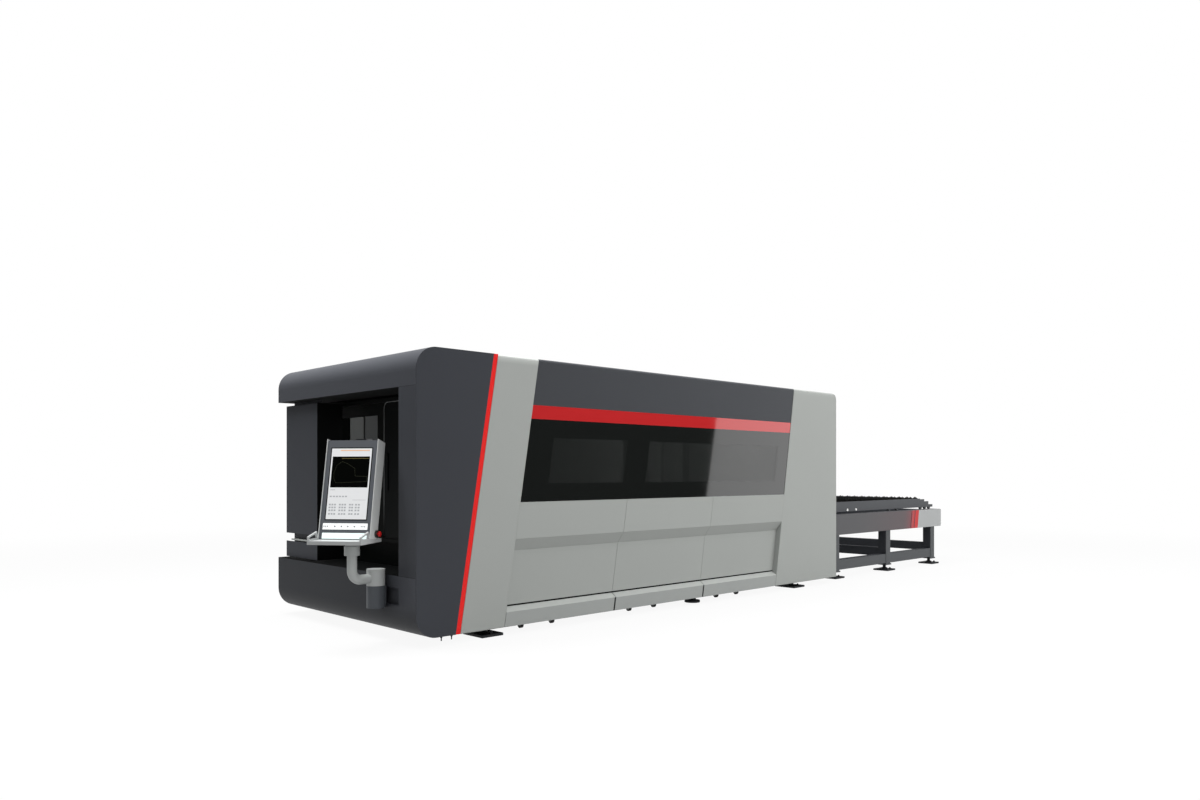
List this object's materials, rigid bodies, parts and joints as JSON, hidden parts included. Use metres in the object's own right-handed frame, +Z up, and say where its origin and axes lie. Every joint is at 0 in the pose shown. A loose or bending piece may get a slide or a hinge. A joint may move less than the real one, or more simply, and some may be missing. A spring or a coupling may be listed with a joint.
{
  "type": "fiber laser cutting machine",
  "caption": "Enclosed flatbed sheet cutting machine with an open control nose, swivelling operator panel, inner gantry, pull-out scrap carts and a pallet changer.",
  "frame": {"origin": "on the floor under the centre of the machine's overall box", "axes": "+X from the control nose to the pallet changer, +Y from the window side to the far side, +Z up"},
  "size_m": [9.2794, 2.25, 2.165],
  "materials": {
    "graphite_paint": "satin powder coat",
    "header_paint": "satin powder coat",
    "light_paint": "satin powder coat",
    "red_paint": "satin powder coat",
    "black_glass": "polished, black backed",
    "tinted_glass": "polished, tinted",
    "black_paint": "matt powder coat",
    "door_paint": "satin powder coat",
    "frame_paint": "satin paint on weldments",
    "foot_steel": "matt dark paint",
    "rail_steel": "ground",
    "gantry_paint": "satin paint",
    "drive_black": "matt paint",
    "head_metal": "anodised",
    "post_paint": "satin powder coat",
    "arm_paint": "satin powder coat",
    "panel_paint": "satin powder coat",
    "panel_side": "satin powder coat",
    "screen_glass": "lit display behind clear glass",
    "key_film": "satin keypad film",
    "stop_collar": "moulded",
    "stop_red": "moulded",
    "wheel_rubber": "moulded",
    "table_paint": "satin powder coat",
    "cap_paint": "satin powder coat",
    "pallet_paint": "satin paint",
    "slat_steel": "dark mill scale"
  },
  "bodies": {
    "machine": {"nose_hood": "graphite_paint", "nose_cheek": "graphite_paint", "nose_apron": "graphite_paint", "front_covers": "graphite_paint", "roof_panels": "graphite_paint", "side_header": "header_paint", "front_bands": "light_paint", "rear_bands": "light_paint", "upper_panels": "light_paint", "lower_panels": "light_paint", "rear_wall": "light_paint", "far_wall": "light_paint", "front_cover_rail": "light_paint", "red_edge_strips": "red_paint", "window_stripe": "red_paint", "table_stripes": "red_paint", "window_surround": "black_glass", "view_panes": "tinted_glass", "front_wall": "black_paint", "door_tracks": "black_paint", "bed_beams": "frame_paint", "bed_supports": "frame_paint", "cabin_frame": "frame_paint", "machine_feet": "foot_steel", "table_feet": "foot_steel", "x_rails": "rail_steel", "x_racks": "rail_steel", "pallet_guide_rails": "rail_steel", "arm_post": "post_paint", "table_beams": "table_paint", "table_legs": "table_paint", "table_braces": "table_paint", "table_end_caps": "cap_paint"},
    "front_door": {"front_door": "door_paint"},
    "gantry": {"gantry_beam": "gantry_paint", "gantry_trucks": "gantry_paint", "x_drives": "drive_black", "y_rails": "rail_steel"},
    "carriage": {"y_carriage": "head_metal"},
    "head": {"z_slide": "head_metal", "cutting_head": "head_metal"},
    "arm": {"arm_tube": "arm_paint"},
    "panel": {"hmi_coupling": "arm_paint", "hmi_housing": "panel_paint", "hmi_side_plates": "panel_side", "hmi_screen": "screen_glass", "hmi_key_strips": "key_film", "hmi_tray": "panel_side", "estop_base": "stop_collar"},
    "estop": {"estop_button": "stop_red"},
    "upper_pallet": {"upper_pallet_frame": "pallet_paint", "upper_pallet_slats": "slat_steel"},
    "lower_pallet": {"lower_pallet_frame": "pallet_paint", "lower_pallet_slats": "slat_steel"},
    "cart_1": {"scrap_cart_1": "light_paint"},
    "wheels_1": {"cart_wheels_1": "wheel_rubber"},
    "cart_2": {"scrap_cart_2": "light_paint"},
    "wheels_2": {"cart_wheels_2": "wheel_rubber"},
    "cart_3": {"scrap_cart_3": "light_paint"},
    "wheels_3": {"cart_wheels_3": "wheel_rubber"}
  },
  "joints": [
    {"name": "front_door_slide", "type": "slide", "parent": "machine", "child": "front_door", "axis": [0, 1, 0], "range_m": [0, 0.934]},
    {"name": "x_axis", "type": "slide", "parent": "machine", "child": "gantry", "axis": [1, 0, 0], "range_m": [0, 4.5]},
    {"name": "y_axis", "type": "slide", "parent": "gantry", "child": "carriage", "axis": [0, 1, 0], "range_m": [-1.3, 0.2]},
    {"name": "z_axis", "type": "slide", "parent": "carriage", "child": "head", "axis": [0, 0, 1], "range_m": [-0.125, 0]},
    {"name": "arm_swivel", "type": "hinge", "parent": "machine", "child": "arm", "pos_m": [-4.08428, -0.691, 0.45], "axis": [0, 0, 1], "range_deg": [-75, 20]},
    {"name": "panel_swivel", "type": "hinge", "parent": "arm", "child": "panel", "pos_m": [-4.28816, -0.71243, 0.7], "axis": [0, 0, 1], "range_deg": [-60, 40]},
    {"name": "estop_press", "type": "slide", "parent": "panel", "child": "estop", "axis": [-0.6018, 0.7986, 0], "range_m": [0, 0.006], "stiffness_N_per_m": 1500},
    {"name": "upper_pallet_slide", "type": "slide", "parent": "machine", "child": "upper_pallet", "axis": [1, 0, 0], "range_m": [-3.05, 0]},
    {"name": "lower_pallet_slide", "type": "slide", "parent": "machine", "child": "lower_pallet", "axis": [1, 0, 0], "range_m": [0, 3.05]},
    {"name": "cart_1_slide", "type": "slide", "parent": "machine", "child": "cart_1", "axis": [0, -1, 0], "range_m": [0, 1.6]},
    {"name": "wheels_1_roll", "type": "hinge", "parent": "cart_1", "child": "wheels_1", "pos_m": [-2.62845, -0.94, 0.0253], "axis": [1, 0, 0], "continuous": true},
    {"name": "cart_2_slide", "type": "slide", "parent": "machine", "child": "cart_2", "axis": [0, -1, 0], "range_m": [0, 1.6]},
    {"name": "wheels_2_roll", "type": "hinge", "parent": "cart_2", "child": "wheels_2", "pos_m": [-1.42878, -0.94, 0.0253], "axis": [1, 0, 0], "continuous": true},
    {"name": "cart_3_slide", "type": "slide", "parent": "machine", "child": "cart_3", "axis": [0, -1, 0], "range_m": [0, 1.6]},
    {"name": "wheels_3_roll", "type": "hinge", "parent": "cart_3", "child": "wheels_3", "pos_m": [-0.22911, -0.94, 0.0253], "axis": [1, 0, 0], "continuous": true}
  ],
  "couplings": [
    {"joint": "lower_pallet_slide", "follows": "upper_pallet_slide", "ratio": -1},
    {"joint": "wheels_1_roll", "follows": "cart_1_slide", "rad_per_m": 40},
    {"joint": "wheels_2_roll", "follows": "cart_2_slide", "rad_per_m": 40},
    {"joint": "wheels_3_roll", "follows": "cart_3_slide", "rad_per_m": 40}
  ]
}
